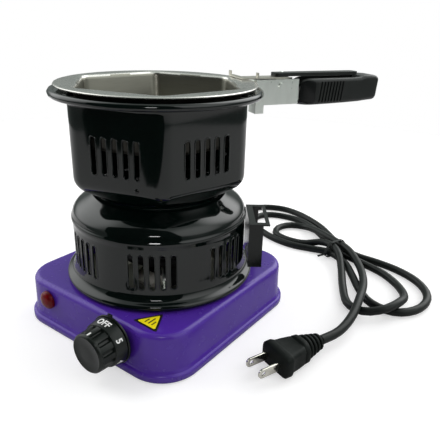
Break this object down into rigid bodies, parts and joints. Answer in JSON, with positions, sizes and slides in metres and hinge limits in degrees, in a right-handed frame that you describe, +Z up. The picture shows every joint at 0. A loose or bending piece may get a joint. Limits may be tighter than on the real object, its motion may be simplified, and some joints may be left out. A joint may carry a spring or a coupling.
{
  "type": "electric wax melting pot",
  "caption": "Electric wax melting pot: square base with coil heater, lamp and thermostat, slotted skirt and hexagonal bowl, lift-out steel pot with clip handle, tied cord with plug.",
  "frame": {"origin": "centre of the object's bounding box without its cord, on the table under the feet", "axes": "+Z up, -Y towards the thermostat's side, which is the front, +X to the right seen from the front"},
  "size_m": [0.2463, 0.3356, 0.1751],
  "materials": {
    "purple_paint": "gloss purple paint on sheet steel",
    "black_enamel": "gloss black vitreous enamel",
    "black_plastic": "semi-matt black phenolic plastic",
    "black_pvc": "soft satin black cord sheath",
    "satin_steel": "satin stainless steel",
    "plated_steel": "bright zinc or nickel plate on steel",
    "dark_steel": "dull dark steel",
    "ceramic": "off-white steatite ceramic",
    "red_lens": "translucent red plastic",
    "yellow_label": "printed plastic film, yellow and black",
    "rubber": "matt black rubber",
    "nickel": "nickel plate on brass",
    "clear_lacquer": "moulded lamp holder"
  },
  "bodies": {
    "base": {"base_housing": "purple_paint", "bottom_plate": "dark_steel", "foot_1": "rubber", "foot_2": "rubber", "foot_3": "rubber", "foot_4": "rubber", "plate_screw_1": "plated_steel", "plate_screw_2": "plated_steel", "plate_screw_3": "plated_steel", "plate_screw_4": "plated_steel", "drip_pan": "satin_steel", "heating_coil": "dark_steel", "coil_support": "plated_steel", "thermostat_body": "ceramic", "terminal_block": "ceramic", "lamp_body": "clear_lacquer", "lamp_lens": "red_lens", "knob_bezel": "black_plastic", "caution_label": "yellow_label", "cord_gland": "black_pvc", "power_cord": "black_pvc", "cord_tie": "black_pvc", "plug_body": "black_pvc", "plug_blade_1": "nickel", "plug_blade_2": "nickel"},
    "knob": {"knob": "black_plastic", "knob_shaft": "plated_steel"},
    "guard": {"guard_skirt": "black_enamel", "handle_rest": "black_enamel", "rest_rivet_1": "black_enamel", "rest_rivet_2": "black_enamel"},
    "bowl": {"bowl": "black_enamel"},
    "pot": {"melting_pot": "satin_steel"},
    "handle": {"clip_body": "plated_steel", "grip": "black_plastic", "lever_pin": "plated_steel", "lever_spring": "dark_steel"},
    "lever": {"upper_jaw": "plated_steel", "thumb_lever": "black_plastic", "lever_rivet": "plated_steel"}
  },
  "joints": [
    {"name": "knob_turn", "type": "hinge", "parent": "base", "child": "knob", "pos_m": [0.01859, -0.10795, 0.0218], "axis": [0, 1, 0], "range_deg": [0, 300]},
    {"name": "guard_lift", "type": "slide", "parent": "base", "child": "guard", "axis": [0, 0, 1], "range_m": [0, 0.06]},
    {"name": "bowl_lift", "type": "slide", "parent": "guard", "child": "bowl", "axis": [0, 0, 1], "range_m": [0, 0.03]},
    {"name": "pot_lift", "type": "slide", "parent": "bowl", "child": "pot", "axis": [0, 0, 1], "range_m": [0, 0.06]},
    {"name": "handle_slide", "type": "slide", "parent": "pot", "child": "handle", "axis": [0.5, 0.866, 0], "range_m": [0, 0.05]},
    {"name": "lever_press", "type": "hinge", "parent": "handle", "child": "lever", "pos_m": [0.03559, 0.04972, 0.165], "axis": [-0.866, 0.5, 0], "range_deg": [0, 4], "stiffness_Nm_per_rad": 1, "springref_deg": -11.46}
  ]
}
